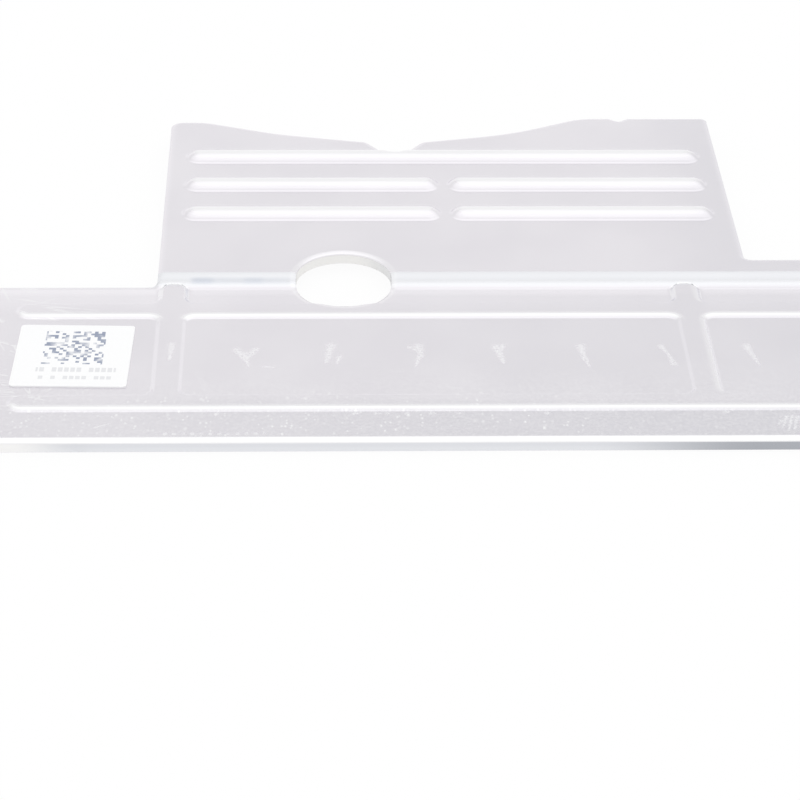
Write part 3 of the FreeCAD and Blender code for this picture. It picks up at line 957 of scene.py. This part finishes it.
# The ink is thinner in places. A row of dashes has its low and high edge, right end and seed.
faded = range_node(tree, noise_node(tree, place, 0.9, 2.0), 0.30, 0.62)
squares = math_node(tree, "LESS_THAN", random_cells(square_pitch, square_pitch, 3.0), square_share)
block = times_node(tree, squares, print_area(-2.3, 2.3, -1.3, 3.55),
                   range_node(tree, faded, 0.0, 1.0, 0.25, 1.0))
dash_rows = ((-2.4, -1.75, 3.4, 5.0), (-3.45, -2.95, 3.2, 9.0))
in_cell = math_node(tree, "FRACT", math_node(tree, "DIVIDE", spot["X"], dash_pitch))
inked = math_node(tree, "LESS_THAN", in_cell, dash_width)
dashes = most_node(tree, *[
    times_node(tree, math_node(tree, "GREATER_THAN", random_cells(dash_pitch, row_span, seed), dash_gaps),
               inked, print_area(dash_left, right, low, high))
    for low, high, right, seed in dash_rows
])
fibres = noise_node(tree, vector_node(tree, "MULTIPLY", place, fibre_scale), 1.0, 3.0)
sheet_colour = blend_node(tree, fibres, paper_low_tone, paper_high_tone)
sheet_colour = blend_node(tree, times_node(tree, dashes, 0.5), sheet_colour, dash_ink)
sheet_colour = blend_node(tree, block, sheet_colour, block_ink)
relief = add_node(tree, "Bump", {"Strength": 0.3, "Distance": 0.01 * mm, "Height": fibres})
tree.links.new(sheet_colour, shader.inputs["Base Color"])
tree.links.new(relief.outputs["Normal"], shader.inputs["Normal"])
shader.inputs["Roughness"].default_value = 0.6
label.data.materials.clear()
label.data.materials.append(paper)

# Floor and light
# A white table under a wide soft lamp, in a white room that is brightest overhead and a little behind.
floor_half = 2.0
floor_height = -0.02 * mm
floor_white = (0.98, 0.98, 0.98, 1)
floor_glow = 0.92
floor_corners = [(-1, -1), (1, -1), (1, 1), (-1, 1)]
floor_mesh = bpy.data.meshes.new("table")
floor_mesh.from_pydata([(x * floor_half, y * floor_half, floor_height) for x, y in floor_corners], [],
                       [(0, 1, 2, 3)])
floor = bpy.data.objects.new("table", floor_mesh)
bpy.context.scene.collection.objects.link(floor)
table_white = bpy.data.materials.new("table_white")
table_white.use_nodes = True
tree = table_white.node_tree
tree.nodes.clear()
paint = add_node(tree, "BsdfDiffuse", {"Color": floor_white})
glow = add_node(tree, "Emission")
path = add_node(tree, "LightPath").outputs
seen = most_node(tree, path["Is Camera Ray"], path["Is Glossy Ray"], path["Is Transmission Ray"])
blend = add_node(tree, "MixShader", {0: times_node(tree, seen, floor_glow), 1: paint.outputs[0],
                                     2: glow.outputs[0]})
open_below = add_node(tree, "MixShader", {0: add_node(tree, "NewGeometry").outputs["Backfacing"],
                                          1: blend.outputs[0],
                                          2: add_node(tree, "BsdfTransparent").outputs[0]})
add_node(tree, "OutputMaterial", {"Surface": open_below.outputs[0]})
floor_mesh.materials.append(table_white)

world = bpy.data.worlds.new("white_room")
bpy.context.scene.world = world
world.use_nodes = True
tree = world.node_tree
tree.nodes.clear()
brightest_way = Vector((0.13, 0.26, 0.957)).normalized()
room_widening = (0.45, 1.0, 1.0)
room_strength = 1.5
room_tones = [(0.0, 0.90), (0.30, 0.99), (0.56, 0.99), (0.64, 0.94), (0.70, 0.918), (0.725, 0.888),
              (0.78, 0.889), (0.83, 0.93), (0.88, 1.005), (0.95, 1.12), (1.0, 1.18)]
widened = vector_node(tree, "MULTIPLY", add_node(tree, "TexCoord").outputs["Generated"], room_widening)
toward = vector_node(tree, "DOT_PRODUCT", vector_node(tree, "NORMALIZE", widened), brightest_way)
walls = add_node(tree, "ValToRGB", {"Fac": toward})
while len(walls.color_ramp.elements) < len(room_tones):
    walls.color_ramp.elements.new(1.0)
for element, (position, tone) in zip(walls.color_ramp.elements, room_tones):
    element.position = position
    element.color = (*[tone / room_strength] * 3, 1)
room = add_node(tree, "Background", {"Color": walls.outputs["Color"], "Strength": room_strength})
backdrop = add_node(tree, "Background", {"Color": (1, 1, 1, 1), "Strength": 1.0})
shown = add_node(tree, "MixShader", {0: add_node(tree, "LightPath").outputs["Is Camera Ray"],
                                     1: room.outputs[0], 2: backdrop.outputs[0]})
add_node(tree, "OutputWorld", {"Surface": shown.outputs[0]})

softbox = bpy.data.lights.new("softbox", "AREA")
softbox.shape = "RECTANGLE"
softbox.size = 0.70
softbox.size_y = 0.30
softbox_glow = 0.10
softbox.energy = softbox_glow * math.pi * softbox.size * softbox.size_y
lamp = bpy.data.objects.new("softbox", softbox)
lamp.location = (-0.02, -0.16, 0.45)
lamp.visible_camera = False
bpy.context.scene.collection.objects.link(lamp)

# Camera
# The photograph's view: a long lens from the front, a little to the left, looking down at the plate.
camera_place = Vector((-9.4035, -193.722, 108.744)) * mm
pitch = math.radians(31.8)
yaw = math.radians(2.17)
roll = 0.01697
focal_pixels = 2790
image_pixels = 800
sensor = 36.0
forward = Vector((math.cos(pitch) * math.sin(yaw), math.cos(pitch) * math.cos(yaw), -math.sin(pitch)))
level_right = Vector((math.cos(yaw), -math.sin(yaw), 0))
level_down = forward.cross(level_right)
right = level_right * math.cos(roll) - level_down * math.sin(roll)
up = -(level_right * math.sin(roll) + level_down * math.cos(roll))
lens = bpy.data.cameras.new("camera")
lens.sensor_width = sensor
lens.lens = focal_pixels / image_pixels * sensor
lens.clip_start = 0.01
camera = bpy.data.objects.new("camera", lens)
turned = Matrix((right, up, -forward)).transposed().to_4x4()
camera.matrix_world = Matrix.Translation(camera_place) @ turned
bpy.context.scene.collection.objects.link(camera)
bpy.context.scene.camera = camera
bpy.context.scene.view_settings.view_transform = "Standard"
